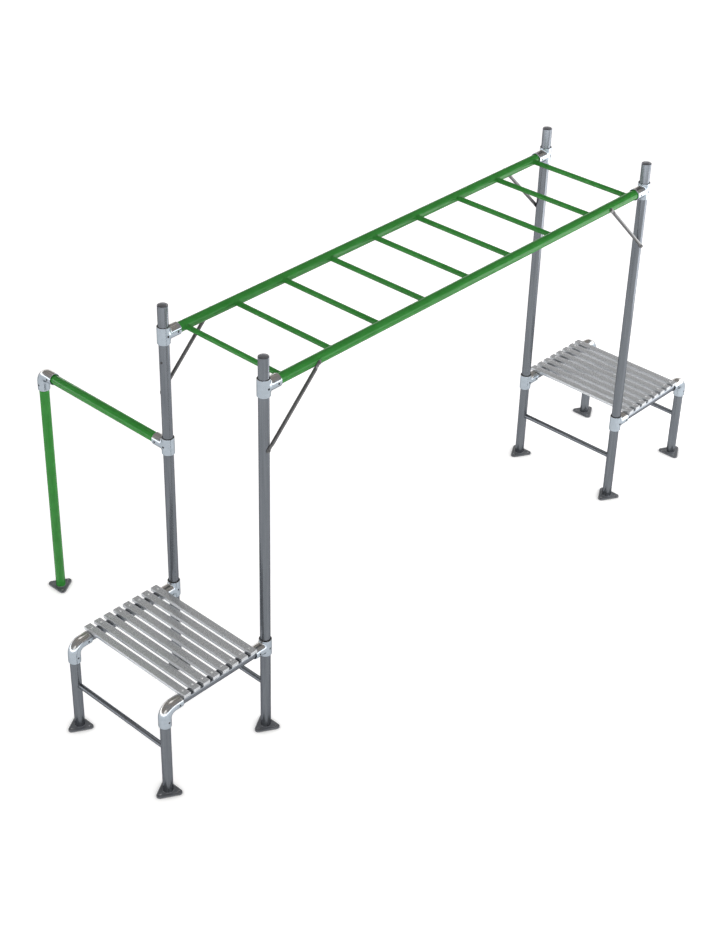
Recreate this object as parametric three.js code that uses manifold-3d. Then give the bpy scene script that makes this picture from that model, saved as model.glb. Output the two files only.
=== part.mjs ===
// Monkey bars: a horizontal ladder on four tall posts, a side turning bar, and a slatted step at each end.
// Millimetres, +Z up, floor at z = 0, ladder along X, side bar towards +Y. Near is the -Y side, far the +Y side.
import * as THREE from 'three';
import { mergeVertices } from 'three/addons/utils/BufferGeometryUtils.js';
import Module from 'manifold-3d';

const wasm = await Module();
wasm.setup();

// ---- driving dimensions ----

// main tubing, 1 1/2 inch pipe
const tubeRadius = 24.15;
const tubeWall = 3.2;
const seatGap = 0.3; // clearance between a piece and what it seats on
const tubeEndGap = 3; // between a cross tube's end and the post it points at

// layout, between tube axes
const railSpacing = 610;
const postSpacing = 2640;
const railHeight = 1837;
const postAboveRail = 143.5; // from the rails' axes to the open tops of the tall posts
const sideBarHeight = 1272.5;
const sideBarReach = 887;
const stepReach = 610;
const stepTubeHeight = 476;
const tieHeight = 255;

// ladder rungs and tie bars
const rungCount = 9;
const rungPitch = 301;
const rungRadius = 12.5;
const tieRadius = 12.5;
const tieWall = 2.6;

// cast tube fittings
const fittingWall = 5.55; // around the bore
const sleeveHeight = 84;
const teeArm = 80; // from the post's axis to the end of the arm
const elbowLeg = 88; // from the corner to each mouth
const elbowBend = 46; // centre-line radius of the bend
const elbowPassage = 19; // radius of the hollow through the bend, past the socket shoulder
const mouthChamfer = 2.5;

// slats, folded from sheet with closed ends
const slatCount = 8;
const slatWidth = 38;
const slatHeight = 17;
const slatWall = 2;
const slatEdgeRadius = 2.5;
const slatOverhang = 30; // past each step tube's axis
const slatEndGap = 1.2; // between a fitting's mouth and the nearest slat

// feet, rounded triangles with three anchor holes
const footThickness = 8;
const footHoleCircle = 50;
const footCornerRadius = 15;
const footHoleRadius = 6;

// braces, round tube with pressed flat ends
const braceRun = 300; // along the rail and down the post
const braceRadius = 8.6;
const braceTabHalfWidth = 10;
const braceTabThickness = 4;
const braceTip = 12; // past the bolt
const braceFlat = 19; // flat length on the other side of the bolt
const bracePress = 13; // length of the change from flat to round
const boltRadius = 5;
const boltHoleClearance = 0.6;
const boltReach = 14; // of the shank, from the tab's back
const washerRadius = 8.6;
const washerThickness = 1.2;
const boltHeadRadius = 7; // low round head
const boltHeadHeight = 3.4;

// facets
const tubeFacets = 16;
const barFacets = 12;
const bendFacets = 4; // along an elbow's bend
const tipFacets = 3; // from the tip of a brace to its full width
const boltFacets = 10;
const footArcFacets = 4; // in each half of an arc
const slatEdgeFacets = 1; // in each half of an arc

// ---- sizes worked out from those ----

const boreRadius = tubeRadius + seatGap;
const fittingRadius = boreRadius + fittingWall;
const elbowTubeEnd = elbowBend + 1; // from the corner to the end of the tube in the socket
const crossTubeStart = tubeRadius + tubeEndGap; // from a post's axis
const tubeFoot = footThickness + seatGap; // where every upright starts
const slatUnderside = stepTubeHeight + tubeRadius + seatGap;
const slatFieldStart = teeArm + slatEndGap; // from the post's axis
const slatFieldEnd = stepReach - elbowLeg - slatEndGap;
const slatPitch = (slatFieldEnd - slatFieldStart - slatWidth) / (slatCount - 1);
const postTop = railHeight + postAboveRail;
const tabOffset = tubeRadius + seatGap + braceTabThickness / 2; // from a tube's axis to a tab's middle
const braceLength = braceRun * Math.SQRT2;
const postX = postSpacing / 2;
const railY = railSpacing / 2;
const legX = postX + stepReach;
const sidePostY = railY + sideBarReach;

// ---- materials ----

function finish(color, roughness, metalness) {
  return new THREE.MeshStandardMaterial({ color, roughness, metalness });
}

const postGrey = finish(0x747a80, 0.5, 0.35);
const paintGreen = finish(0x2f8433, 0.38, 0.05);
const castZinc = finish(0xc6ced6, 0.35, 0.75);
const slatMetal = finish(0x8d9090, 0.48, 0.7);
const footGrey = finish(0x4b4d50, 0.6, 0.2);
const braceSteel = finish(0x6a6c70, 0.42, 0.7);

// ---- solids: closed three.js geometry in, booleans, geometry out ----

function solid(geometry) {
  const bare = geometry.clone();
  for (const name of Object.keys(bare.attributes)) {
    if (name !== 'position') bare.deleteAttribute(name);
  }
  const merged = mergeVertices(bare, 1e-4);
  const vertProperties = Float32Array.from(merged.attributes.position.array);
  const triVerts = Uint32Array.from(merged.index.array);
  return new wasm.Manifold(new wasm.Mesh({ numProp: 3, vertProperties, triVerts }));
}

function toGeometry(body) {
  const mesh = body.getMesh();
  const geometry = new THREE.BufferGeometry();
  geometry.setAttribute('position', new THREE.BufferAttribute(Float32Array.from(mesh.vertProperties), 3));
  geometry.setIndex(new THREE.BufferAttribute(Uint32Array.from(mesh.triVerts), 1));
  const shaded = geometry.toNonIndexed();
  shaded.computeVertexNormals();
  return shaded;
}

const join = (bodies) => bodies.reduce((all, next) => all.add(next));
const cut = (body, tools) => tools.reduce((rest, tool) => rest.subtract(tool), body);

// a solid of revolution about +Z from [radius, z] pairs, listed upwards
function revolved(profile, facets) {
  const points = profile.map(([radius, z]) => new THREE.Vector2(radius, z));
  return new THREE.LatheGeometry(points, facets).rotateX(Math.PI / 2);
}

function rod(radius, from, to, facets) {
  return revolved([[0, from], [radius, from], [radius, to], [0, to]], facets);
}

const alongX = (geometry) => geometry.rotateY(Math.PI / 2);
const alongY = (geometry) => geometry.rotateX(-Math.PI / 2);

// a cross-section swept through a list of rings of points, capped at both ends
function lofted(rings) {
  const count = rings[0].length;
  const positions = rings.flat().flatMap((p) => [p.x, p.y, p.z]);
  const index = [];
  for (let r = 0; r < rings.length - 1; r++) {
    for (let i = 0; i < count; i++) {
      const a = r * count + i;
      const b = r * count + ((i + 1) % count);
      index.push(a, b, a + count, b, b + count, a + count);
    }
  }
  const last = (rings.length - 1) * count;
  for (let i = 1; i < count - 1; i++) {
    index.push(0, i + 1, i);
    index.push(last, last + i, last + i + 1);
  }
  const geometry = new THREE.BufferGeometry();
  geometry.setAttribute('position', new THREE.Float32BufferAttribute(positions, 3));
  geometry.setIndex(index);
  return geometry;
}

// ---- tubes ----

// straight tube along +Z, with bolt holes through one wall at the given heights, towards side * Y
function tubeBody(length, holes = []) {
  const body = solid(rod(tubeRadius, 0, length, tubeFacets));
  const bore = solid(rod(tubeRadius - tubeWall, -1, length + 1, tubeFacets));
  return cut(body, [bore, ...holes.map(({ z, side }) => boltHole(side).translate([0, 0, z]))]);
}

function boltHole(side) {
  return solid(alongY(rod(boltRadius + boltHoleClearance, side > 0 ? 0 : -2 * tubeRadius,
    side > 0 ? 2 * tubeRadius : 0, boltFacets)));
}

const tube = (length, holes) => toGeometry(tubeBody(length, holes));

// a tie between two posts, its open ends cut to the posts' round
function tie() {
  const bar = solid(alongY(rod(tieRadius, -railY, railY, barFacets)));
  const bore = solid(alongY(rod(tieRadius - tieWall, -railY - 1, railY + 1, barFacets)));
  const posts = [-railY, railY].map((y) => solid(
    rod(boreRadius, -2 * tieRadius, 2 * tieRadius, tubeFacets)).translate([0, y, 0]));
  return toGeometry(cut(bar, [bore, ...posts]));
}

// ---- welded frames ----

// two rails and nine rungs, welded and painted as one piece, about the middle of the ladder
function ladder() {
  const half = postX - crossTubeStart;
  const rails = [-railY, railY].map((y) => solid(
    alongX(rod(tubeRadius, -half, half, tubeFacets))).translate([0, y, 0]));
  const bores = [-railY, railY].map((y) => solid(
    alongX(rod(tubeRadius - tubeWall, -half - 1, half + 1, tubeFacets))).translate([0, y, 0]));
  const rungs = [];
  for (let i = 0; i < rungCount; i++) {
    const x = (i - (rungCount - 1) / 2) * rungPitch;
    rungs.push(solid(alongY(rod(rungRadius, -railY, railY, barFacets))).translate([x, 0, 0]));
  }
  const holes = [-1, 1].flatMap((side) => [-1, 1].map((end) => boltHole(side)
    .translate([end * (postX - braceRun), side * railY, 0])));
  return toGeometry(cut(join([...rails, ...rungs]), [...bores, ...holes]));
}

// two short legs and their tie, welded as one piece, standing on the feet
function legFrame() {
  const length = stepTubeHeight - elbowTubeEnd - tubeFoot;
  const legs = [-railY, railY].map((y) => solid(rod(tubeRadius, 0, length, tubeFacets)).translate([0, y, 0]));
  const bores = [-railY, railY].map((y) => solid(
    rod(tubeRadius - tubeWall, -1, length + 1, tubeFacets)).translate([0, y, 0]));
  const bar = solid(alongY(rod(tieRadius, -railY, railY, barFacets))).translate([0, 0, tieHeight - tubeFoot]);
  return toGeometry(cut(join([...legs, bar]), bores));
}

// ---- cast fittings ----

// collar around a tube: a plain cylinder with both edges chamfered
function collar(from, to) {
  const edge = fittingRadius - mouthChamfer;
  return revolved([[0, from], [edge, from], [fittingRadius, from + mouthChamfer],
    [fittingRadius, to - mouthChamfer], [edge, to], [0, to]], tubeFacets);
}

// socket with only its mouth chamfered
function socket(from, mouth) {
  return revolved([[0, from], [fittingRadius, from], [fittingRadius, mouth - mouthChamfer],
    [fittingRadius - mouthChamfer, mouth], [0, mouth]], tubeFacets);
}

// sleeve on a post along Z with a socket arm along +X
function tee() {
  const body = join([solid(collar(-sleeveHeight / 2, sleeveHeight / 2)), solid(alongX(socket(0, teeArm)))]);
  const postBore = solid(rod(boreRadius, -sleeveHeight, sleeveHeight, tubeFacets));
  const armBore = solid(alongX(rod(boreRadius, 0, teeArm + 1, tubeFacets)));
  return toGeometry(cut(body, [postBore, armBore]));
}

// ring of the given radius across an elbow's centre line: turn 0 faces down, 90 degrees faces +X,
// and past is how far outside the bend it lies, along the straight at that end
function elbowRing(radius, turn, past = 0) {
  const centre = new THREE.Vector3(elbowBend * (1 - Math.cos(turn)), 0, elbowBend * (Math.sin(turn) - 1));
  const outwards = turn > 0 ? new THREE.Vector3(past, 0, 0) : new THREE.Vector3(0, 0, -past);
  return Array.from({ length: tubeFacets }, (_, i) => {
    const angle = (2 * Math.PI * i) / tubeFacets;
    return new THREE.Vector3(radius * Math.cos(angle), radius * Math.sin(angle), 0)
      .applyAxisAngle(new THREE.Vector3(0, 1, 0), turn).add(centre).add(outwards);
  });
}

// solid along an elbow's centre line: the bend at one radius, each end a list of [radius, past] outwards
function elbowSolid(bendRadius, end) {
  const rings = [...end].reverse().map(([radius, past]) => elbowRing(radius, 0, past));
  for (let i = 0; i <= bendFacets; i++) {
    rings.push(elbowRing(bendRadius, (i / bendFacets) * (Math.PI / 2)));
  }
  return solid(lofted([...rings, ...end.map(([radius, past]) => elbowRing(radius, Math.PI / 2, past))]));
}

// 90 degree elbow: one socket down, one along +X, and a narrower passage through the bend between them
function elbow() {
  const straight = elbowLeg - elbowBend;
  const outside = elbowSolid(fittingRadius,
    [[fittingRadius, straight - mouthChamfer], [fittingRadius - mouthChamfer, straight]]);
  const inside = elbowSolid(elbowPassage, [[boreRadius, 0], [boreRadius, straight + 1]]);
  return toGeometry(outside.subtract(inside));
}

// ---- slats, feet, braces ----

// folded slat along Y: rounded top edges, closed ends, open underneath
function slat() {
  const half = slatWidth / 2;
  const outline = new THREE.Shape();
  outline.moveTo(-half, 0);
  outline.lineTo(half, 0);
  const arcHeight = slatHeight - slatEdgeRadius;
  outline.absarc(half - slatEdgeRadius, arcHeight, slatEdgeRadius, 0, Math.PI / 2, false);
  outline.absarc(slatEdgeRadius - half, arcHeight, slatEdgeRadius, Math.PI / 2, Math.PI, false);
  const length = railSpacing + 2 * slatOverhang;
  const settings = { depth: length, bevelEnabled: false, curveSegments: slatEdgeFacets };
  const blank = new THREE.ExtrudeGeometry(outline, settings).rotateX(Math.PI / 2).translate(0, length / 2, 0);
  const hollow = new THREE.BoxGeometry(slatWidth - 2 * slatWall, length - 2 * slatWall, slatHeight)
    .translate(0, 0, slatHeight / 2 - slatWall);
  return toGeometry(solid(blank).subtract(solid(hollow)));
}

// floor plate: a triangle with round corners, an anchor hole at each, one corner pointing along +X
function foot() {
  const outline = new THREE.Shape();
  const corners = [0, 1, 2].map((i) => (i * 2 * Math.PI) / 3);
  for (const angle of corners) {
    outline.absarc(footHoleCircle * Math.cos(angle), footHoleCircle * Math.sin(angle), footCornerRadius,
      angle - Math.PI / 3, angle + Math.PI / 3, false);
  }
  for (const angle of corners) {
    const hole = new THREE.Path();
    hole.absarc(footHoleCircle * Math.cos(angle), footHoleCircle * Math.sin(angle), footHoleRadius,
      0, 2 * Math.PI, true);
    outline.holes.push(hole);
  }
  const plate = new THREE.ExtrudeGeometry(outline,
    { depth: footThickness, bevelEnabled: false, curveSegments: footArcFacets });
  return toGeometry(solid(plate));
}

// stadium-shaped ring across X, halfWidth along Z and halfThickness along Y
function braceRing(x, halfWidth, halfThickness) {
  return Array.from({ length: barFacets }, (_, i) => {
    const angle = (2 * Math.PI * i) / barFacets;
    const side = Math.sign(Math.round(Math.cos(angle) * barFacets));
    const shift = side * (halfWidth - halfThickness);
    return new THREE.Vector3(x, -halfThickness * Math.sin(angle), shift + halfThickness * Math.cos(angle));
  });
}

// brace along +X from bolt to bolt, with the bolt heads towards side * Y and the shanks the other way
function brace(side) {
  const half = braceTabThickness / 2;
  const end = []; // from the tip inwards
  for (let i = 0; i <= tipFacets; i++) {
    const angle = (i / tipFacets) * (Math.PI / 2);
    end.push([-braceTip * Math.cos(angle), Math.max(braceTabHalfWidth * Math.sin(angle), half), half]);
  }
  end.push([braceFlat, braceTabHalfWidth, half], [braceFlat + bracePress, braceRadius, braceRadius]);
  const rings = [...end.map(([x, width, thickness]) => braceRing(x, width, thickness)),
    ...end.reverse().map(([x, width, thickness]) => braceRing(braceLength - x, width, thickness))];
  const bolt = () => {
    const shank = rod(boltRadius, -half - boltReach, half, boltFacets);
    const washer = rod(washerRadius, half - 0.5, half + washerThickness, barFacets);
    const head = rod(boltHeadRadius, half, half + washerThickness + boltHeadHeight, boltFacets);
    return join([shank, washer, head].map(solid)).rotate([side > 0 ? -90 : 90, 0, 0]);
  };
  return toGeometry(join([solid(lofted(rings)), bolt(), bolt().translate([braceLength, 0, 0])]));
}

// ---- assembly ----

const model = new THREE.Group();
const frame = new THREE.Group(); // its origin is on the floor, midway between the four tall posts
frame.position.y = -sideBarReach / 2; // the model's own origin is on the floor, in the middle of the whole
model.add(frame);

function place(name, geometry, material, position, turn = 0) {
  const mesh = new THREE.Mesh(geometry, material);
  mesh.name = name;
  mesh.position.set(...position);
  mesh.rotation.z = turn;
  frame.add(mesh);
  return mesh;
}

const teeShape = tee();
const elbowShape = elbow();
const slatShape = slat();
const footShape = foot();
const tieShape = tie();
const legFrameShape = legFrame();
const stepTubeShape = alongX(tube(stepReach - elbowTubeEnd - crossTubeStart));
const ends = [{ end: 'left', out: -1 }, { end: 'right', out: 1 }];
const sides = [{ side: 'near', y: -railY }, { side: 'far', y: railY }];

place('ladder', ladder(), paintGreen, [0, 0, railHeight]);

for (const { end, out } of ends) {
  const outward = out > 0 ? 0 : Math.PI;
  const inward = Math.PI - outward;
  place(`tie_posts_${end}`, tieShape, postGrey, [out * postX, 0, tieHeight]);
  place(`leg_frame_${end}`, legFrameShape, postGrey, [out * legX, 0, tubeFoot]);

  for (const { side, y } of sides) {
    const outside = Math.sign(y);
    const bolted = [{ z: railHeight - braceRun - tubeFoot, side: outside }];
    place(`post_${end}_${side}`, tube(postTop - tubeFoot, bolted), postGrey, [out * postX, y, tubeFoot]);
    place(`foot_post_${end}_${side}`, footShape, footGrey, [out * postX, y, 0], Math.PI);
    place(`foot_leg_${end}_${side}`, footShape, footGrey, [out * legX, y, 0], outward);
    place(`tee_rail_${end}_${side}`, teeShape, castZinc, [out * postX, y, railHeight], inward);
    place(`tee_step_${end}_${side}`, teeShape, castZinc, [out * postX, y, stepTubeHeight], outward);
    place(`elbow_step_${end}_${side}`, elbowShape, castZinc, [out * legX, y, stepTubeHeight], inward);
    place(`step_tube_${end}_${side}`, stepTubeShape, postGrey,
      [out > 0 ? postX + crossTubeStart : elbowTubeEnd - legX, y, stepTubeHeight]);

    const strut = place(`brace_${end}_${side}`, brace(outside), braceSteel,
      [out * postX, y + outside * tabOffset, railHeight - braceRun]);
    strut.rotation.y = out > 0 ? (-3 * Math.PI) / 4 : -Math.PI / 4;
  }

  for (let i = 0; i < slatCount; i++) {
    const x = postX + slatFieldStart + slatWidth / 2 + i * slatPitch;
    place(`slat_${end}_${i + 1}`, slatShape, slatMetal, [out * x, 0, slatUnderside]);
  }
}

const sideBarLength = sideBarReach - elbowTubeEnd - crossTubeStart;
place('tee_side_bar', teeShape, castZinc, [-postX, railY, sideBarHeight], Math.PI / 2);
place('side_bar', alongY(tube(sideBarLength)), paintGreen, [-postX, railY + crossTubeStart, sideBarHeight]);
place('elbow_side_bar', elbowShape, castZinc, [-postX, sidePostY, sideBarHeight], -Math.PI / 2);
place('side_post', tube(sideBarHeight - elbowTubeEnd - tubeFoot), paintGreen, [-postX, sidePostY, tubeFoot]);
place('foot_side_post', footShape, footGrey, [-postX, sidePostY, 0]);

export default model;
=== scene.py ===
import math

import bmesh
import bpy
import numpy as np
from mathutils import Matrix, Vector


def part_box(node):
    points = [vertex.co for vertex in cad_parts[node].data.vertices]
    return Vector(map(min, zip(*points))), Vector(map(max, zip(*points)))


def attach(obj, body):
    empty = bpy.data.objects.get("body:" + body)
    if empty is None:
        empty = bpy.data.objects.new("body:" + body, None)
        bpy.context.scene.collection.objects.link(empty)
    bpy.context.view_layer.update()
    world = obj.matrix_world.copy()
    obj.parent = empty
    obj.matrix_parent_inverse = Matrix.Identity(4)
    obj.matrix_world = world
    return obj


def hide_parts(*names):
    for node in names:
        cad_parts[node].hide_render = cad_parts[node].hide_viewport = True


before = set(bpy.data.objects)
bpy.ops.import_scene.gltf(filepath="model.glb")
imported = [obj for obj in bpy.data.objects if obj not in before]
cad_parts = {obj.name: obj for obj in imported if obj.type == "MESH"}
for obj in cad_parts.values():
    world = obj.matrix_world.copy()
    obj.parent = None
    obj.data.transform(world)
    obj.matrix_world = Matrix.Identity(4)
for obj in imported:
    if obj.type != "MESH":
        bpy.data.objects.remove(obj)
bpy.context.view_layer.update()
print("frame loaded:", len(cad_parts), "nodes")

ends = {"left": -1, "right": 1}  # which way is outwards along X
sides = {"near": -1, "far": 1}  # which way is outwards along Y
up, down, right = Vector((0, 0, 1)), Vector((0, 0, -1)), Vector((1, 0, 0))


def middleOf(node):
    low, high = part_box(node)
    return (low + high) / 2


def sizeOf(node):
    low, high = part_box(node)
    return high - low


def axisOf(node):
    # where an upright tube's middle line meets the floor
    spot = middleOf(node)
    return Vector((spot.x, spot.y, 0))


def postAxis(end, side):
    return axisOf(f"post_{end}_{side}")


def legAxis(end, side):
    return Vector((middleOf(f"leg_frame_{end}").x, postAxis(end, side).y, 0))


tubeRadius = sizeOf("post_left_near").x / 2
railHeight = middleOf("ladder").z
railSpacing = middleOf("post_left_far").y - middleOf("post_left_near").y
sideBarHeight = middleOf("side_bar").z
stepTubeHeight = middleOf("step_tube_left_near").z
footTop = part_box("foot_post_left_near")[1].z
sidePostAxis = axisOf("side_post")

cameraView = {
    "location": (-5.691, -5.205, 5.632),
    "heading": 44.74,  # degrees from +Y towards +X
    "tilt": 33.38,  # degrees below level
    "roll": -0.213,
    "lens": 89.48,
    "sensor": 36.0,
    "shift": (0.12255, -0.01712),
    "farthest": 200,
}


def addCamera(view):
    data = bpy.data.cameras.new("camera")
    data.sensor_fit = "HORIZONTAL"
    data.sensor_width = view["sensor"]
    data.lens = view["lens"]
    data.shift_x, data.shift_y = view["shift"]
    data.clip_end = view["farthest"]
    camera = bpy.data.objects.new("camera", data)
    camera.location = view["location"]
    turn = Matrix.Rotation(-math.radians(view["heading"]), 3, "Z")
    turn = turn @ Matrix.Rotation(math.radians(90 - view["tilt"]), 3, "X")
    turn = turn @ Matrix.Rotation(math.radians(view["roll"]), 3, "Z")
    camera.rotation_euler = turn.to_euler()
    bpy.context.scene.collection.objects.link(camera)
    bpy.context.scene.camera = camera


addCamera(cameraView)
print("camera placed")


def put(tree, kind, inputs=None, **settings):
    # adds a node to any tree; an input takes a value or another node's socket
    node = tree.nodes.new(kind)
    for key, value in settings.items():
        setattr(node, key, value)
    for key, value in (inputs or {}).items():
        if isinstance(value, bpy.types.NodeSocket):
            tree.links.new(value, node.inputs[key])
        else:
            node.inputs[key].default_value = value
    return node


def calc(tree, operation, *values):
    return put(tree, "ShaderNodeMath", dict(enumerate(values)), operation=operation).outputs[0]


def times(tree, first, second):
    return calc(tree, "MULTIPLY", first, second)


def combine(tree, x=0.0, y=0.0, z=0.0):
    return put(tree, "ShaderNodeCombineXYZ", {"X": x, "Y": y, "Z": z}).outputs[0]


def separate(tree, vector):
    return put(tree, "ShaderNodeSeparateXYZ", {0: vector}).outputs


def rescale(tree, value, fromLow, fromHigh, toLow=0.0, toHigh=1.0):
    inputs = {"Value": value, "From Min": fromLow, "From Max": fromHigh, "To Min": toLow, "To Max": toHigh}
    return put(tree, "ShaderNodeMapRange", inputs).outputs["Result"]


def newGroup(name, kind, given):
    # a shader group gives one mask, a geometry group one shape
    tree = bpy.data.node_groups.new(name, kind + "NodeTree")
    for label, (socket, default) in given.items():
        item = tree.interface.new_socket(name=label, in_out="INPUT", socket_type="NodeSocket" + socket)
        if default is not None:
            item.default_value = default
    label, socket = ("Mask", "Float") if kind == "Shader" else ("Geometry", "Geometry")
    tree.interface.new_socket(name=label, in_out="OUTPUT", socket_type="NodeSocket" + socket)
    return tree, tree.nodes.new("NodeGroupInput").outputs, tree.nodes.new("NodeGroupOutput").inputs[0]


# effects that several finishes share, each a shader group
def objectPlace(tree):
    return put(tree, "ShaderNodeTexCoord").outputs["Object"]


def noise(tree, place, scale, detail):
    return put(tree, "ShaderNodeTexNoise", {"Vector": place, "Scale": scale, "Detail": detail}).outputs[0]


def makeGrain():
    # long fine streaks: noise stretched by Stretch
    tree, given, out = newGroup("grain", "Shader", {
        "Stretch": ("Vector", (400, 400, 8)), "Detail": ("Float", 4.0)})
    stretched = put(tree, "ShaderNodeVectorMath", {0: objectPlace(tree), 1: given["Stretch"]},
                    operation="MULTIPLY").outputs[0]
    tree.links.new(rescale(tree, noise(tree, stretched, 1.0, given["Detail"]), 0.3, 0.7), out)
    return tree


def makeMottle():
    # soft cloudy patches with a finer speckle on them
    tree, given, out = newGroup("mottle", "Shader", {
        "Patch Scale": ("Float", 30.0), "Speckle Scale": ("Float", 600.0), "Speckle": ("Float", 0.3)})
    place = objectPlace(tree)
    patches = noise(tree, place, given["Patch Scale"], 5.0)
    speckle = noise(tree, place, given["Speckle Scale"], 2.0)
    mixed = put(tree, "ShaderNodeMix", {0: given["Speckle"], 2: patches, 3: speckle})
    tree.links.new(rescale(tree, mixed.outputs[0], 0.33, 0.67), out)
    return tree


def makeEdgeWearAndGlint():
    # bright where the surface turns quickly, broken up by noise: worn edges, and on the slats also a
    # painted highlight along the folds
    tree, given, out = newGroup("edgeWear", "Shader", {
        "Width": ("Float", 0.0012), "Breakup Scale": ("Float", 120.0)})
    rounded = put(tree, "ShaderNodeBevel", {"Radius": given["Width"]}, samples=4).outputs[0]
    flat = put(tree, "ShaderNodeNewGeometry").outputs["Normal"]
    turn = put(tree, "ShaderNodeVectorMath", {0: rounded, 1: flat},
               operation="DOT_PRODUCT").outputs["Value"]
    edge = rescale(tree, turn, 0.99, 0.86)
    broken = rescale(tree, noise(tree, objectPlace(tree), given["Breakup Scale"], 3.0), 0.38, 0.6, 0.25)
    tree.links.new(times(tree, edge, broken), out)
    return tree


def makeDustAndSheen():
    # settles on faces that look up, and close to the ground; on cast metal it marks only the tops, for a
    # painted reflection
    tree, given, out = newGroup("dust", "Shader", {
        "Top": ("Float", 0.5), "Ground Height": ("Float", 0.12), "Ground": ("Float", 0.5)})
    facesUp = separate(tree, put(tree, "ShaderNodeNewGeometry").outputs["Normal"])["Z"]
    place = objectPlace(tree)
    onTop = times(tree, rescale(tree, facesUp, 0.3, 1.0), given["Top"])
    low = rescale(tree, separate(tree, place)["Z"], given["Ground Height"], 0.0)
    atGround = times(tree, low, given["Ground"])
    broken = rescale(tree, noise(tree, place, 25.0, 6.0), 0.35, 0.65, 0.2)
    tree.links.new(times(tree, calc(tree, "MAXIMUM", onTop, atGround), broken), out)
    return tree


grain, mottle, edgeWear, dust = makeGrain(), makeMottle(), makeEdgeWearAndGlint(), makeDustAndSheen()
print("shader groups made")


def shaded(name):
    material = bpy.data.materials.new(name)
    material.use_nodes = True
    tree = material.node_tree
    return material, tree, tree.nodes["Principled BSDF"]


def maskOf(tree, group, **values):
    node = put(tree, "ShaderNodeGroup", node_tree=group)
    for label, value in values.items():
        node.inputs[label.replace("_", " ")].default_value = value
    return node.outputs["Mask"]


def layered(tree, look, base, *layers):
    # each layer is a mask, the name of its colour in the look, and how far it covers
    colour = look[base]
    for mask, name, amount in layers:
        node = put(tree, "ShaderNodeMix", {0: mask if amount == 1.0 else times(tree, mask, amount)},
                   data_type="RGBA")
        if isinstance(colour, bpy.types.NodeSocket):
            tree.links.new(colour, node.inputs[6])
        else:
            node.inputs[6].default_value = (*colour, 1)
        node.inputs[7].default_value = (*look[name], 1)
        colour = node.outputs[2]
    return colour


def dimmed(tree, colour, keep):
    return put(tree, "ShaderNodeVectorMath", {0: colour, 1: combine(tree, keep, keep, keep)},
               operation="MULTIPLY").outputs[0]


def rimShade(tree, colour, strength):
    # a little darker where the surface turns away
    facing = put(tree, "ShaderNodeLayerWeight", {"Blend": 0.35}).outputs["Facing"]
    return dimmed(tree, colour, rescale(tree, facing, 0.55, 0.95, 1.0, 1.0 - strength))


def finishLook(tree, shader, look, colour, patches, ridges):
    tree.links.new(colour, shader.inputs["Base Color"])
    tree.links.new(rescale(tree, patches, 0, 1, *look["roughness"]), shader.inputs["Roughness"])
    shader.inputs["Metallic"].default_value = look["metallic"]
    strength, depth = look["relief"]
    bump = put(tree, "ShaderNodeBump", {"Strength": strength, "Distance": depth, "Height": ridges})
    tree.links.new(bump.outputs[0], shader.inputs["Normal"])


greyPaint = {"dark": (0.134, 0.147, 0.164), "light": (0.189, 0.205, 0.225), "worn": (0.27, 0.28, 0.29),
             "dusty": (0.36, 0.35, 0.34), "roughness": (0.17, 0.26), "metallic": 0.75,
             "relief": (0.03, 0.0002), "edgeTint": (0.25, 0.25, 0.28, 1), "rim": 0.45}


def makeGreyPaint(name, stretch, look=greyPaint):
    material, tree, shader = shaded(name)
    streak = maskOf(tree, grain, Stretch=stretch, Detail=5.0)
    cloud = maskOf(tree, mottle, Patch_Scale=9.0, Speckle_Scale=900.0, Speckle=0.35)
    worn = maskOf(tree, edgeWear, Width=0.001, Breakup_Scale=150.0)
    dusty = maskOf(tree, dust, Top=0.35, Ground_Height=0.10, Ground=0.4)
    colour = layered(tree, look, "dark", (streak, "light", 1.0), (cloud, "light", 0.25),
                     (worn, "worn", 0.5), (dusty, "dusty", 0.3))
    finishLook(tree, shader, look, rimShade(tree, colour, look["rim"]), cloud, streak)
    shader.inputs["Specular Tint"].default_value = look["edgeTint"]
    return material


greenPaint = {"deep": (0.024, 0.212, 0.026), "light": (0.040, 0.280, 0.044), "worn": (0.08, 0.32, 0.08),
              "dusty": (0.15, 0.30, 0.15), "roughness": (0.40, 0.5), "metallic": 0.0,
              "relief": (0.12, 0.0003), "rim": 0.55, "coat": 0.40, "coatRoughness": 0.12, "coatIor": 1.6}


def makeGreenPaint(look=greenPaint):
    material, tree, shader = shaded("greenPaint")
    cloud = maskOf(tree, mottle, Patch_Scale=14.0, Speckle_Scale=1100.0, Speckle=0.4)
    worn = maskOf(tree, edgeWear, Width=0.0012, Breakup_Scale=140.0)
    dusty = maskOf(tree, dust, Top=0.15, Ground_Height=0.08, Ground=0.35)
    colour = layered(tree, look, "deep", (cloud, "light", 1.0), (worn, "worn", 0.4), (dusty, "dusty", 0.25))
    finishLook(tree, shader, look, rimShade(tree, colour, look["rim"]), cloud, cloud)
    # the shine is all in the clear coat, and fades where the surface turns away
    shader.inputs["Specular IOR Level"].default_value = 0.0
    facing = put(tree, "ShaderNodeLayerWeight", {"Blend": 0.35}).outputs["Facing"]
    tree.links.new(rescale(tree, facing, 0.6, 0.95, look["coat"], 0.0), shader.inputs["Coat Weight"])
    shader.inputs["Coat Roughness"].default_value = look["coatRoughness"]
    shader.inputs["Coat IOR"].default_value = look["coatIor"]
    return material


# painted reflection: two of these colours stand for the sky mirrored on the tops, a warm tone and the light
# scratch colour of its streaks
castMetal = {"bright": (0.43, 0.485, 0.54), "dull": (0.365, 0.415, 0.465), "tarnish": (0.49, 0.475, 0.45),
             "scratch": (0.80, 0.78, 0.76), "roughness": (0.15, 0.22), "metallic": 0.9,
             "relief": (0.025, 0.0002), "edgeTint": (0.4, 0.4, 0.4, 1)}


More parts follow.
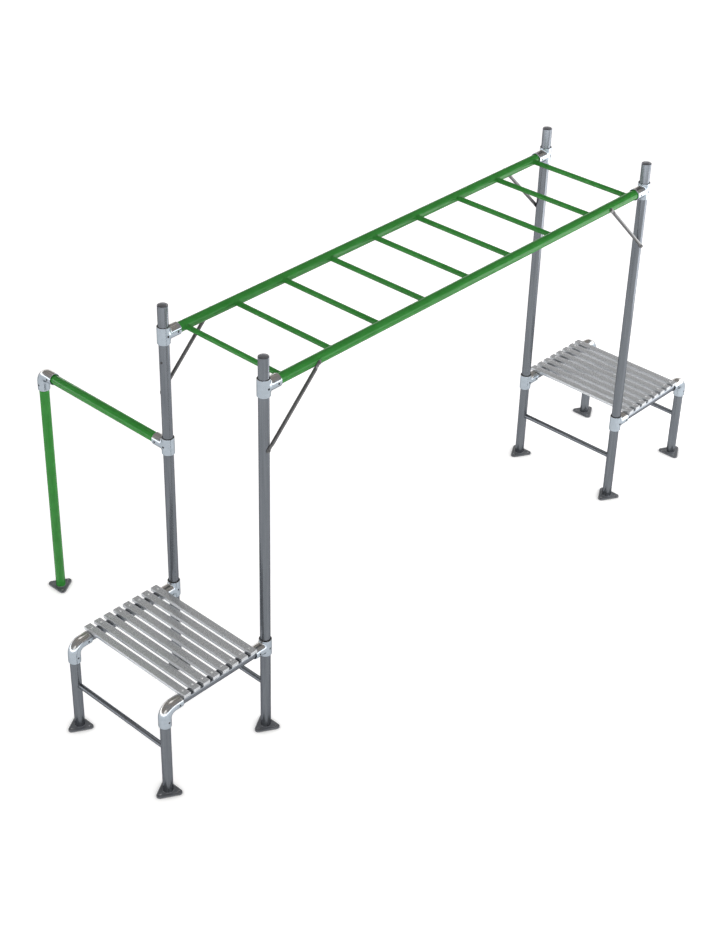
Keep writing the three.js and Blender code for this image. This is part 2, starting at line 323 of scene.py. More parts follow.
def makeCastMetal(name, stretch, look=castMetal):
    material, tree, shader = shaded(name)
    cloud = maskOf(tree, mottle, Patch_Scale=55.0, Speckle_Scale=700.0, Speckle=0.4)
    streak = maskOf(tree, grain, Stretch=stretch, Detail=6.0)
    worn = maskOf(tree, edgeWear, Width=0.0015, Breakup_Scale=90.0)
    dusty = maskOf(tree, dust, Top=1.0, Ground_Height=0.01, Ground=0.0)
    # painted reflection: the tops take a warm brown tone, with light streaks along the grain, standing in
    # for the warm sky they mirror
    skySheen = rescale(tree, dusty, 0.0, 0.4, 0.0, 0.9)
    streakSheen = times(tree, rescale(tree, streak, 0.6, 0.85), skySheen)
    colour = layered(tree, look, "dull", (cloud, "bright", 1.0), (skySheen, "tarnish", 1.0),
                     (streakSheen, "scratch", 0.6), (worn, "bright", 0.5))
    finishLook(tree, shader, look, colour, cloud, cloud)
    shader.inputs["Specular Tint"].default_value = look["edgeTint"]
    return material


slatMetal = {"dark": (0.57, 0.595, 0.62), "light": (0.66, 0.685, 0.71), "worn": (0.78, 0.79, 0.80),
             "roughness": (0.20, 0.32), "metallic": 0.6, "relief": (0.02, 0.0001),
             "gapReach": 0.03, "gapOpen": (0.68, 0.82), "gapShade": 0.88}


def makeSlatMetal(look=slatMetal):
    material, tree, shader = shaded("slatMetal")
    brushed = maskOf(tree, grain, Stretch=(900, 30, 900), Detail=2.0)
    speckle = maskOf(tree, mottle, Patch_Scale=500.0, Speckle_Scale=1400.0, Speckle=0.5)
    # on the slats this edge layer is partly wear and partly a painted highlight along the folds
    worn = maskOf(tree, edgeWear, Width=0.001, Breakup_Scale=100.0)
    colour = layered(tree, look, "dark", (speckle, "light", 0.6), (brushed, "light", 0.25),
                     (worn, "worn", 0.5))
    # painted shade: the walls that face the next slat across a narrow gap are darker
    clear = put(tree, "ShaderNodeAmbientOcclusion", {"Distance": look["gapReach"]}, samples=8).outputs["AO"]
    colour = dimmed(tree, colour, rescale(tree, clear, *look["gapOpen"], look["gapShade"], 1.0))
    finishLook(tree, shader, look, colour, speckle, speckle)
    return material


footPaint = {"dark": (0.108, 0.117, 0.132), "light": (0.150, 0.161, 0.178), "worn": (0.20, 0.20, 0.21),
             "dusty": (0.18, 0.175, 0.17), "roughness": (0.28, 0.42), "metallic": 0.0,
             "relief": (0.2, 0.0004)}


def makeFootPaint(look=footPaint):
    material, tree, shader = shaded("footPaint")
    cloud = maskOf(tree, mottle, Patch_Scale=40.0, Speckle_Scale=900.0, Speckle=0.4)
    worn = maskOf(tree, edgeWear, Width=0.0016, Breakup_Scale=110.0)
    dusty = maskOf(tree, dust, Top=0.5, Ground_Height=0.008, Ground=0.3)
    colour = layered(tree, look, "dark", (cloud, "light", 1.0), (dusty, "dusty", 0.25), (worn, "worn", 0.5))
    finishLook(tree, shader, look, colour, cloud, cloud)
    return material


plainMetals = {
    "braceMetal": {"dark": (0.085, 0.085, 0.086), "light": (0.12, 0.12, 0.122), "worn": (0.45, 0.45, 0.45),
                   "roughness": (0.25, 0.4), "metallic": 0.6},
    "rivetMetal": {"dark": (0.62, 0.63, 0.64), "light": (0.82, 0.83, 0.84), "worn": (0.9, 0.9, 0.9),
                   "roughness": (0.2, 0.35), "metallic": 0.9},
    # painted light: the bores of the tubes and the holes of the feet are pale, standing in for light that
    # reaches inside
    "boreMetal": {"dark": (0.46, 0.47, 0.50), "light": (0.56, 0.57, 0.60), "worn": (0.60, 0.60, 0.61),
                  "roughness": (0.5, 0.65), "metallic": 0.0},
    # painted shade: the cut ends of the tubes are near black, standing in for the dark sky they mirror
    "cutEdge": {"dark": (0.018, 0.019, 0.021), "light": (0.03, 0.031, 0.033), "worn": (0.08, 0.08, 0.08),
                "roughness": (0.4, 0.6), "metallic": 0.9},
    # painted shade: the bores, flared mouths and screw holes of the fittings are near black
    "holeIron": {"dark": (0.014, 0.014, 0.015), "light": (0.03, 0.03, 0.031), "worn": (0.06, 0.06, 0.06),
                 "roughness": (0.5, 0.7), "metallic": 0.9},
    "screwIron": {"dark": (0.03, 0.03, 0.032), "light": (0.06, 0.06, 0.062), "worn": (0.3, 0.3, 0.3),
                  "roughness": (0.3, 0.45), "metallic": 0.9},
}
plainRelief = (0.12, 0.0002)


def makePlainMetal(name):
    look = {**plainMetals[name], "relief": plainRelief}
    material, tree, shader = shaded(name)
    cloud = maskOf(tree, mottle, Patch_Scale=35.0, Speckle_Scale=1200.0, Speckle=0.25)
    worn = maskOf(tree, edgeWear, Width=0.0014, Breakup_Scale=130.0)
    colour = layered(tree, look, "dark", (cloud, "light", 1.0), (worn, "worn", 0.6))
    finishLook(tree, shader, look, colour, cloud, cloud)
    return material


paintUpright = makeGreyPaint("greyPaintUpright", (150, 150, 3))
paintAlongX = makeGreyPaint("greyPaintAlongX", (3, 150, 150))
paintAlongY = makeGreyPaint("greyPaintAlongY", (150, 3, 150))
paintGreen = makeGreenPaint()
metalCast = {"x": makeCastMetal("castMetalAlongX", (10, 260, 260)),
             "y": makeCastMetal("castMetalAlongY", (260, 10, 260))}
metalSlat = makeSlatMetal()
paintFoot = makeFootPaint()
metals = {name: makePlainMetal(name) for name in plainMetals}
print("materials made")


def pipeOf(paint):
    return [paint, metals["boreMetal"], metals["cutEdge"]]  # outside, bore, cut ends


def finishPiece(name, mesh, nodes=(), materials=(), sharpAngle=32):
    for material in materials:
        mesh.materials.append(material)
    mesh.shade_smooth()
    mesh.set_sharp_from_angle(angle=math.radians(sharpAngle))
    piece = bpy.data.objects.new(name, mesh)
    bpy.context.scene.collection.objects.link(piece)
    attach(piece, "root")
    if nodes:
        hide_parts(*nodes)


def toMesh(build):
    bmesh.ops.recalc_face_normals(build, faces=build.faces)
    mesh = bpy.data.meshes.new("mesh")
    build.to_mesh(mesh)
    build.free()
    return mesh


def turnsOf(count):
    return [2 * math.pi * i / count for i in range(count)]


def ringAt(centre, spin, radius, count, ahead=0.0):
    # points round the turned Z axis, that far ahead along it
    return [centre + spin @ Vector((radius * math.cos(t), radius * math.sin(t), ahead))
            for t in turnsOf(count)]


def skinRings(build, rings, loop=False, bands=None):
    # quads from ring to ring; flat caps at both ends, or the last ring joined to the first
    rows = [[build.verts.new(point) for point in ring] for ring in rings]
    count = len(rows[0])
    follows = rows[1:] + (rows[:1] if loop else [])
    for row, (lower, upper) in enumerate(zip(rows, follows)):
        for i in range(count):
            j = (i + 1) % count
            face = build.faces.new((lower[i], lower[j], upper[j], upper[i]))
            face.material_index = (bands or {}).get(row, 0)
    if not loop:
        build.faces.new(rows[0])
        build.faces.new(rows[-1])


def rod(start, end, radius, segments=64):
    build = bmesh.new()
    spin = (end - start).to_track_quat("Z", "Y")
    skinRings(build, [ringAt(point, spin, radius, segments) for point in (start, end)])
    return toMesh(build)


def scratch(mesh):
    piece = bpy.data.objects.new("scratch", mesh)
    bpy.context.scene.collection.objects.link(piece)
    return piece


def applied(piece):
    # the mesh with all modifiers in it; the object is thrown away
    bpy.context.view_layer.update()
    evaluated = piece.evaluated_get(bpy.context.evaluated_depsgraph_get())
    mesh = bpy.data.meshes.new_from_object(evaluated)
    bpy.data.objects.remove(piece)
    return mesh


def combined(mesh, tool, operation):
    # boolean with another mesh, whose faces keep their material
    piece, other = scratch(mesh), scratch(tool)
    change = piece.modifiers.new("combine", "BOOLEAN")
    change.operation, change.solver, change.object = operation, "EXACT", other
    change.material_mode = "TRANSFER"
    mesh = applied(piece)
    bpy.data.objects.remove(other)
    return mesh


def carve(mesh, cutters, skin, inside):
    mesh.materials.append(skin)
    for cutter in cutters:
        cutter.materials.append(inside)
        mesh = combined(mesh, cutter, "DIFFERENCE")
    return mesh


def grow(tree, kind, inputs=None, **settings):
    # adds a geometry node and gives its first output
    return put(tree, "GeometryNode" + kind, inputs, **settings).outputs[0]


def joined(tree, *shapes):
    node = put(tree, "GeometryNodeJoinGeometry")
    for shape in shapes:
        tree.links.new(shape, node.inputs[0])
    return node.outputs[0]


def cutOut(tree, solid, cutter):
    node = put(tree, "GeometryNodeMeshBoolean", operation="DIFFERENCE", solver="EXACT")
    tree.links.new(solid, node.inputs[0])
    tree.links.new(cutter, node.inputs[1])
    return node.outputs[0]


def rowOf(tree, shape, count, start, offset):
    line = grow(tree, "MeshLine", {"Count": count, "Start Location": start, "Offset": offset})
    return grow(tree, "InstanceOnPoints", {"Points": line, "Instance": shape})


def growNodes(tree, values, mesh=None):
    # runs a geometry tree and keeps its result as a plain mesh
    piece = scratch(mesh or bpy.data.meshes.new("empty"))
    modifier = piece.modifiers.new("grow", "NODES")
    modifier.node_group = tree
    for item in tree.interface.items_tree:
        if item.item_type == "SOCKET" and item.in_out == "INPUT" and item.name in values:
            modifier[item.identifier] = values[item.name]
    return applied(piece)


tubes = {
    "wall": 0.0032,
    "tieWall": 0.0026,
    "rim": 0.0007,  # round on the edges of a cut end
    "segments": 72,
    "weld": 0.0018,  # radius of a weld bead
    "ripples": 9,  # round a weld
    "ripple": 0.1,  # how much each one swells the bead
    "tieRunIn": 0.001,  # how far a tie reaches into the posts' skin
}


def addTube(build, start, end, radius=tubeRadius, wall=tubes["wall"]):
    direction = end - start
    length, rim, bore = direction.length, tubes["rim"], radius - wall
    turn = 0.3 * rim  # the middle of the round on an edge
    profile = [(radius - rim, 0), (radius - turn, turn), (radius, rim),
               (radius, length - rim), (radius - turn, length - turn), (radius - rim, length),
               (bore + rim, length), (bore, length - rim), (bore, rim), (bore + rim, 0)]
    # bands of the profile: the outside, the bore with its edges, and the cut ends
    outside, inside = (2,), (6, 7, 8)
    bands = {row: 0 if row in outside else 1 if row in inside else 2 for row in range(len(profile))}
    spin = direction.to_track_quat("Z", "Y")
    skinRings(build, [ringAt(start, spin, across, tubes["segments"], along) for across, along in profile],
              loop=True, bands=bands)


def addWeld(build, centre, normal, ringRadius, saddle=None, segments=48):
    # bead round a bar where it meets a plate or a tube; saddle is (tube radius, its axis)
    spin = normal.to_track_quat("Z", "Y")
    rings = []
    for angle in turnsOf(segments):
        out = spin @ Vector((math.cos(angle), math.sin(angle), 0))
        lift = 0
        if saddle:
            radius, axis = saddle
            lift = math.sqrt(radius ** 2 - (out * ringRadius).cross(axis).length ** 2) - radius
        base = centre + out * ringRadius + normal * lift
        swell = tubes["weld"] * (1 + tubes["ripple"] * math.sin(tubes["ripples"] * angle))
        rings.append([base + out * swell * math.cos(t) + normal * swell * math.sin(t) for t in turnsOf(8)])
    skinRings(build, rings, loop=True)


def makePipe(node, along, paint, ending):
    # fills its node's box from end to end; along is the number of its axis
    start, finish = middleOf(node), middleOf(node)
    start[along], finish[along] = (corner[along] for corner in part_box(node))
    build = bmesh.new()
    addTube(build, start, finish)
    finishPiece(node + ending, toMesh(build), [node], pipeOf(paint))


def makeLegs(end):
    node = f"leg_frame_{end}"
    low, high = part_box(node)
    build = bmesh.new()
    for side in sides:
        axis = legAxis(end, side)
        addTube(build, axis + up * low.z, axis + up * high.z)
    finishPiece(node + "_legs", toMesh(build), [node], pipeOf(paintUpright))


def makeTie(end, kind):
    # the tie between two legs is in the legs' own node, which makeLegs replaces
    node = f"tie_posts_{end}"
    x = (postAxis if kind == "posts" else legAxis)(end, "near").x
    height, radius = middleOf(node).z, sizeOf(node).z / 2
    near, far = postAxis(end, "near").y, postAxis(end, "far").y
    reach = tubeRadius - tubes["tieRunIn"]
    build = bmesh.new()
    addTube(build, Vector((x, near + reach, height)), Vector((x, far - reach, height)), radius,
            tubes["tieWall"])
    for y, facing in ((near, 1), (far, -1)):
        addWeld(build, Vector((x, y + facing * tubeRadius, height)), Vector((0, facing, 0)), radius,
                saddle=(tubeRadius, up))
    finishPiece(f"tie_{kind}_{end}_bar", toMesh(build), [node] if kind == "posts" else [],
                pipeOf(paintAlongY))


for end in ends:
    for side in sides:
        makePipe(f"post_{end}_{side}", 2, paintUpright, "_tube")
        makePipe(f"step_tube_{end}_{side}", 0, paintAlongX, "_pipe")
makePipe("side_post", 2, paintGreen, "_tube")
makePipe("side_bar", 1, paintGreen, "_tube")
for end in ends:
    makeLegs(end)
    makeTie(end, "posts")
    makeTie(end, "legs")
print("tubes made")

ladder = {
    "Rung Count": 9,
    "Rung Pitch": 0.301,
    "Rung Radius": 0.0125,
    "Weld Radius": 0.0026,
}


def makeLadderTree():
    tree, given, out = newGroup("ladderTree", "Geometry", {
        "Rail Length": ("Float", 2.6), "Rail Spacing": ("Float", 0.6), "Rail Radius": ("Float", 0.024),
        "Rung Count": ("Int", 9), "Rung Pitch": ("Float", 0.3), "Rung Radius": ("Float", 0.012),
        "Weld Radius": ("Float", 0.0025), "Centre": ("Vector", (0, 0, 0)), "Paint": ("Material", None)})

    def bar(radius, start, end, facets):
        line = grow(tree, "CurvePrimitiveLine", {"Start": start, "End": end})
        ring = grow(tree, "CurvePrimitiveCircle", {"Resolution": facets, "Radius": radius})
        return grow(tree, "CurveToMesh", {"Curve": line, "Profile Curve": ring, "Fill Caps": True})

    halfLength = times(tree, given["Rail Length"], 0.5)
    halfSpacing = times(tree, given["Rail Spacing"], 0.5)
    rail = bar(given["Rail Radius"], combine(tree, times(tree, halfLength, -1)),
               combine(tree, halfLength), 72)
    rails = rowOf(tree, rail, 2, combine(tree, 0, times(tree, halfSpacing, -1)),
                  combine(tree, 0, given["Rail Spacing"]))

    # rung ends stop just inside the rails' skin
    reach = calc(tree, "SUBTRACT", halfSpacing, times(tree, given["Rail Radius"], 0.9))
    rung = bar(given["Rung Radius"], combine(tree, 0, times(tree, reach, -1)), combine(tree, 0, reach), 40)

    # weld bead: a ring bent to the rail's round
    ring = grow(tree, "CurvePrimitiveCircle", {"Resolution": 36, "Radius": given["Rung Radius"]})
    spot = separate(tree, grow(tree, "InputPosition"))
    railSquared = times(tree, given["Rail Radius"], given["Rail Radius"])
    drop = calc(tree, "SQRT", calc(tree, "SUBTRACT", railSquared, times(tree, spot[1], spot[1])))
    bent = grow(tree, "SetPosition", {"Geometry": ring, "Position": combine(
        tree, spot[0], calc(tree, "SUBTRACT", halfSpacing, drop), spot[1])})
    bead = grow(tree, "CurvePrimitiveCircle", {"Resolution": 8, "Radius": given["Weld Radius"]})
    weld = grow(tree, "CurveToMesh", {"Curve": bent, "Profile Curve": bead})
    otherWeld = grow(tree, "Transform", {"Geometry": weld, "Rotation": (0, 0, math.pi)})

    pitches = calc(tree, "SUBTRACT", given["Rung Count"], 1)
    firstRung = times(tree, pitches, times(tree, given["Rung Pitch"], -0.5))
    rungs = rowOf(tree, joined(tree, rung, weld, otherWeld), given["Rung Count"], combine(tree, firstRung),
                  combine(tree, given["Rung Pitch"]))
    moved = grow(tree, "Transform", {
        "Geometry": joined(tree, rails, rungs), "Translation": given["Centre"]})
    real = grow(tree, "RealizeInstances", {0: moved})
    tree.links.new(grow(tree, "SetMaterial", {"Geometry": real, "Material": given["Paint"]}), out)
    return tree


ladderMesh = growNodes(makeLadderTree(), {
    **ladder, "Rail Length": sizeOf("ladder").x, "Rail Spacing": railSpacing, "Rail Radius": tubeRadius,
    "Centre": tuple(middleOf("ladder")), "Paint": paintGreen})
finishPiece("ladder_frame", ladderMesh, ["ladder"], sharpAngle=50)
print("ladder made")

fittings = {
    "bore": tubeRadius + 0.0003,
    "radius": sizeOf("tee_rail_left_near").y / 2,
    "sleeve": sizeOf("tee_rail_left_near").z,
    "teeArm": sizeOf("tee_rail_left_near").x - sizeOf("tee_rail_left_near").y / 2,
    "elbowLeg": sizeOf("elbow_step_left_near").x - sizeOf("elbow_step_left_near").y / 2,
    "bend": 0.046,  # centre-line radius
    "bendSteps": 24,
    "edge": 0.0016,  # round on the mouths
    "edgeSteps": 4,
    "flare": 0.0028,  # widening of the bore at a mouth
    "fillet": 0.007,  # where an arm leaves its sleeve
    "voxel": 0.0017,
    "segments": 72,
    "screwHole": 0.0052,
    "overshoot": 1.2,  # cutters run past what they cut
}
# set screws of each fitting: distance out along the arm, and height
screwPlaces = {
    "tee": [(0, 0.0), (0.060, 0)],
    "elbow": [(0.066, 0), (0, -0.057)],
}


def roundedCylinder(along, across, low, high):
    # signed distance to a cylinder whose edges are rounded
    edge = fittings["edge"]
    sideways = across - (fittings["radius"] - edge)
    lengthways = np.abs(along - (low + high) / 2) - ((high - low) / 2 - edge)
    outside = np.hypot(np.maximum(sideways, 0), np.maximum(lengthways, 0))
    return outside + np.minimum(np.maximum(sideways, lengthways), 0) - edge


def teeDistance(points):
    x, y, z = points.T
    sleeve = roundedCylinder(z, np.hypot(x, y), -fittings["sleeve"] / 2, fittings["sleeve"] / 2)
    arm = roundedCylinder(x, np.hypot(y, z), 0, fittings["teeArm"])
    overlap = np.maximum(fittings["fillet"] - np.abs(sleeve - arm), 0) / fittings["fillet"]
    return np.minimum(sleeve, arm) - overlap ** 2 * fittings["fillet"] / 4


def teeBody():
    # rough union by voxels, then every point pulled on to the exact surface
    radius, half = fittings["radius"], fittings["sleeve"] / 2
    sleeve, arm = rod(down * half, up * half, radius), rod(right * 0, right * fittings["teeArm"], radius)
    rough = scratch(combined(sleeve, arm, "UNION"))
    remesh = rough.modifiers.new("even", "REMESH")
    remesh.mode, remesh.voxel_size = "VOXEL", fittings["voxel"]
    mesh = applied(rough)
    points = np.empty(len(mesh.vertices) * 3)
    mesh.vertices.foreach_get("co", points)
    points = points.reshape(-1, 3)
    step, rounds, flattest = 1e-5, 8, 0.2  # of the search along the slope
    for _ in range(rounds):
        here = teeDistance(points)
        slope = np.stack([teeDistance(points + step * np.eye(3)[i]) - here for i in range(3)], 1) / step
        points -= slope * (here / np.maximum((slope ** 2).sum(1), flattest))[:, None]
    mesh.vertices.foreach_set("co", points.ravel())
    mesh.update()
    return mesh


def screwCutters(kind, side):
    # from inside the bore, out through the wall on one side
    cutters = []
    for x, z in screwPlaces[kind]:
        start = Vector((x, side * tubeRadius * 0.6, z))
        finish = start + Vector((0, side * fittings["radius"] * 1.5, 0))
        cutters.append(rod(start, finish, fittings["screwHole"], 32))
    return cutters


def mouthCutter(outwards, distance):
    # bore past a mouth, flaring towards it
    bore, flare = fittings["bore"], fittings["flare"]
    build = bmesh.new()
    spin = outwards.to_track_quat("Z", "Y")
    skinRings(build, [ringAt(outwards * distance, spin, radius, fittings["segments"], ahead)
                      for radius, ahead in ((bore, -2 * flare), (bore + flare, 0), (bore + flare, flare))])
    return toMesh(build)


def teeMesh(side):
    bore, sleeve, arm, segments = (fittings[key] for key in ("bore", "sleeve", "teeArm", "segments"))
    return carve(teeBody(), [
        rod(down * sleeve, up * sleeve, bore, segments),
        rod(right * 0, right * arm * fittings["overshoot"], bore, segments),
        mouthCutter(up, sleeve / 2),
        mouthCutter(down, sleeve / 2),
        mouthCutter(right, arm),
        *screwCutters("tee", side)], metalCast["x"], metals["holeIron"])


def elbowRings(profile):
    # profile gives (radius, distance outside the bend) from the bend's end to a mouth
    bend, steps = fittings["bend"], fittings["bendSteps"]

    def ring(radius, angle, past):
        centre = Vector((bend * (1 - math.cos(angle)), 0, bend * (math.sin(angle) - 1)))
        centre += (right if angle > 0 else down) * past
        return ringAt(centre, Matrix.Rotation(angle, 3, "Y"), radius, fittings["segments"])

    start = [ring(radius, 0, past) for radius, past in reversed(profile)]
    middle = [ring(profile[0][0], math.pi / 2 * i / steps, 0) for i in range(1, steps)]
    finish = [ring(radius, math.pi / 2, past) for radius, past in profile]
    return start + middle + finish


def elbowMesh(side):
    radius, edge, bore = fittings["radius"], fittings["edge"], fittings["bore"]
    leg, steps = fittings["elbowLeg"], fittings["edgeSteps"]
    straight = leg - fittings["bend"]
    outer = [(radius, 0), (radius, straight - edge)]
    for i in range(1, steps + 1):
        angle = math.pi / 2 * i / steps
        outer.append((radius - edge * (1 - math.cos(angle)), straight - edge * (1 - math.sin(angle))))
    shell, passage = bmesh.new(), bmesh.new()
    skinRings(shell, elbowRings(outer))
    skinRings(passage, elbowRings([(bore, 0), (bore, straight * fittings["overshoot"])]))
    return carve(toMesh(shell), [toMesh(passage), mouthCutter(right, leg), mouthCutter(down, leg),
                                 *screwCutters("elbow", side)], metalCast["x"], metals["holeIron"])


# the screws of a fitting face one side or the other, so each kind has two meshes
fittingMeshes = {(kind, side): shape(side) for kind, shape in (("tee", teeMesh), ("elbow", elbowMesh))
                 for side in (-1, 1)}
screwSpots = []  # (place, direction it faces)


def placeFitting(node, kind, corner, turn, side):
    move = Matrix.Translation(corner) @ Matrix.Rotation(turn, 4, "Z")
    mesh = fittingMeshes[kind, side].copy()
    mesh.transform(move)
    mesh.materials[0] = metalCast["y" if abs(math.sin(turn)) > 0.5 else "x"]
    finishPiece(node + "_casting", mesh, [node], sharpAngle=40)
    outwards = move.to_3x3() @ Vector((0, side, 0))
    for x, z in screwPlaces[kind]:
        screwSpots.append((move @ Vector((x, 0, z)) + outwards * tubeRadius, outwards))


for end, outward in ends.items():
    inwardTurn = math.pi if outward > 0 else 0
    for side in sides:
        place = f"{end}_{side}"
        onPost, onLeg = postAxis(end, side) + up * stepTubeHeight, legAxis(end, side) + up * stepTubeHeight
        placeFitting("tee_rail_" + place, "tee", postAxis(end, side) + up * railHeight, inwardTurn, outward)
        placeFitting("tee_step_" + place, "tee", onPost, math.pi - inwardTurn, -outward)
        placeFitting("elbow_step_" + place, "elbow", onLeg, inwardTurn, outward)
placeFitting("tee_side_bar", "tee", postAxis("left", "far") + up * sideBarHeight, math.pi / 2, 1)
placeFitting("elbow_side_bar", "elbow", sidePostAxis + up * sideBarHeight, -math.pi / 2, -1)
print("fittings made")

setScrew = {"Sides": 28, "Radius": 0.0047, "Height": 0.0046, "Washer Radius": 0.0, "Washer Height": 0.0,
            "Socket Radius": 0.0026, "Socket Depth": 0.003, "Metal": metals["screwIron"]}
braceBolt = {"Sides": 32, "Radius": 0.007, "Height": 0.0046, "Washer Radius": 0.0086,
             "Washer Height": 0.0012, "Socket Radius": 0.003, "Socket Depth": 0.002,
             "Metal": metals["braceMetal"]}
postRivet = {**setScrew, "Radius": 0.0055, "Height": 0.0016, "Socket Depth": 0.0}
rivetPlace = (-tubeRadius, -0.0055, 1.707)  # from the foot of the left far post


def makeFastenerTree():
    # a head with a washer and a hex socket on each point of a mesh, along its "facing" attribute
    tree, given, out = newGroup("fastenerTree", "Geometry", {
        "Points": ("Geometry", None), "Sides": ("Int", 6), "Radius": ("Float", 0.01),
        "Height": ("Float", 0.006), "Washer Radius": ("Float", 0.0), "Washer Height": ("Float", 0.0),
        "Socket Radius": ("Float", 0.0), "Socket Depth": ("Float", 0.0), "Metal": ("Material", None)})
    least = 0.0001  # a smaller washer or socket is left out

    def drum(facets, radius, height, bottom):
        solid = grow(tree, "MeshCylinder", {"Vertices": facets, "Radius": radius, "Depth": height})
        lift = calc(tree, "ADD", times(tree, height, 0.5), bottom)
        return grow(tree, "Transform", {"Geometry": solid, "Translation": combine(tree, 0, 0, lift)})

    head = drum(given["Sides"], given["Radius"], given["Height"], 0.0)
    socketBottom = calc(tree, "SUBTRACT", given["Height"], given["Socket Depth"])
    hexSocket = drum(6, given["Socket Radius"], times(tree, given["Socket Depth"], 2), socketBottom)
    topped = grow(tree, "Switch", {
        "Switch": calc(tree, "GREATER_THAN", given["Socket Depth"], least), "False": head,
        "True": cutOut(tree, head, hexSocket)}, input_type="GEOMETRY")
    washer = grow(tree, "Switch", {
        "Switch": calc(tree, "GREATER_THAN", given["Washer Radius"], least),
        "True": drum(40, given["Washer Radius"], given["Washer Height"], 0.0)}, input_type="GEOMETRY")
    facing = grow(tree, "InputNamedAttribute", {"Name": "facing"}, data_type="FLOAT_VECTOR")
    turn = put(tree, "FunctionNodeAlignRotationToVector", {"Vector": facing}, axis="Z").outputs[0]
    placed = grow(tree, "InstanceOnPoints", {
        "Points": given["Points"], "Instance": joined(tree, topped, washer), "Rotation": turn})
    real = grow(tree, "RealizeInstances", {0: placed})
    tree.links.new(grow(tree, "SetMaterial", {"Geometry": real, "Material": given["Metal"]}), out)
    return tree


fastenerTree = makeFastenerTree()


def addFasteners(name, values, spots):
    mesh = bpy.data.meshes.new("spots")
    mesh.from_pydata([tuple(place) for place, _ in spots], [], [])
    facing = mesh.attributes.new("facing", "FLOAT_VECTOR", "POINT")
    facing.data.foreach_set("vector", [value for _, direction in spots for value in direction])
    finishPiece(name, growNodes(fastenerTree, values, mesh), sharpAngle=30)


addFasteners("set_screws", setScrew, screwSpots)
addFasteners("post_rivet", postRivet, [(postAxis("left", "far") + Vector(rivetPlace), -right)])
print("set screws made:", len(screwSpots))

brace = {
    "run": 0.300,  # along the rail and down the post
    "radius": 0.0086,
    "tabHalfWidth": 0.010,
    "tabThickness": 0.004,
    "tip": 0.012,
    "tipSteps": 8,
    "flat": 0.019,
    "press": 0.013,
    "pressSteps": 12,
    "facets": 32,
    "stand": 0.0003,  # gap to the tube behind the tab
}


def braceMesh():
    # along +X from bolt to bolt, flat in the XZ plane
    half, wide = brace["tabThickness"] / 2, brace["tabHalfWidth"]
    stations = []  # (place along it, half width, half thickness)
    for i in range(brace["tipSteps"] + 1):
        angle = math.pi / 2 * i / brace["tipSteps"]
        stations.append((-brace["tip"] * math.cos(angle), max(wide * math.sin(angle), half), half))
    for i in range(brace["pressSteps"] + 1):
        share = i / brace["pressSteps"]
        ease = share * share * (3 - 2 * share)
        stations.append((brace["flat"] + brace["press"] * share,
                         wide + (brace["radius"] - wide) * ease, half + (brace["radius"] - half) * ease))
    length, facets = brace["run"] * math.sqrt(2), brace["facets"]
    both = stations + [(length - x, width, thick) for x, width, thick in reversed(stations)]
    rings = []
    for x, width, thick in both:
        ring = []
        for k in range(facets):
            angle = 2 * math.pi * (k + 0.5) / facets
            shift = math.copysign(width - thick, math.cos(angle))
            ring.append(Vector((x, -thick * math.sin(angle), shift + thick * math.cos(angle))))
        rings.append(ring)
    build = bmesh.new()
    skinRings(build, rings)
    return toMesh(build)


boltSpots = []
tabOffset = tubeRadius + brace["stand"] + brace["tabThickness"] / 2
for end, outward in ends.items():
    for side, outside in sides.items():
        outwards = Vector((0, outside, 0))
        foot = postAxis(end, side) + outwards * tabOffset + up * (railHeight - brace["run"])
        head = foot + Vector((-outward, 0, 1)) * brace["run"]
        lean = -math.pi / 4 if outward < 0 else -3 * math.pi / 4
        mesh = braceMesh()
        mesh.transform(Matrix.Translation(foot) @ Matrix.Rotation(lean, 4, "Y"))
        node = f"brace_{end}_{side}"
        finishPiece(node + "_bar", mesh, [node], [metals["braceMetal"]])
        boltSpots += [(spot + outwards * (brace["tabThickness"] / 2), outwards) for spot in (foot, head)]
addFasteners("brace_bolts", braceBolt, boltSpots)
print("braces made")

slats = {
    "Corner": 0.0022,
    "Wall": 0.002,
    "End Chamfer": 0.0008,
    "Rivet Radius": 0.0053,
    "Rivet Height": 0.0016,
}


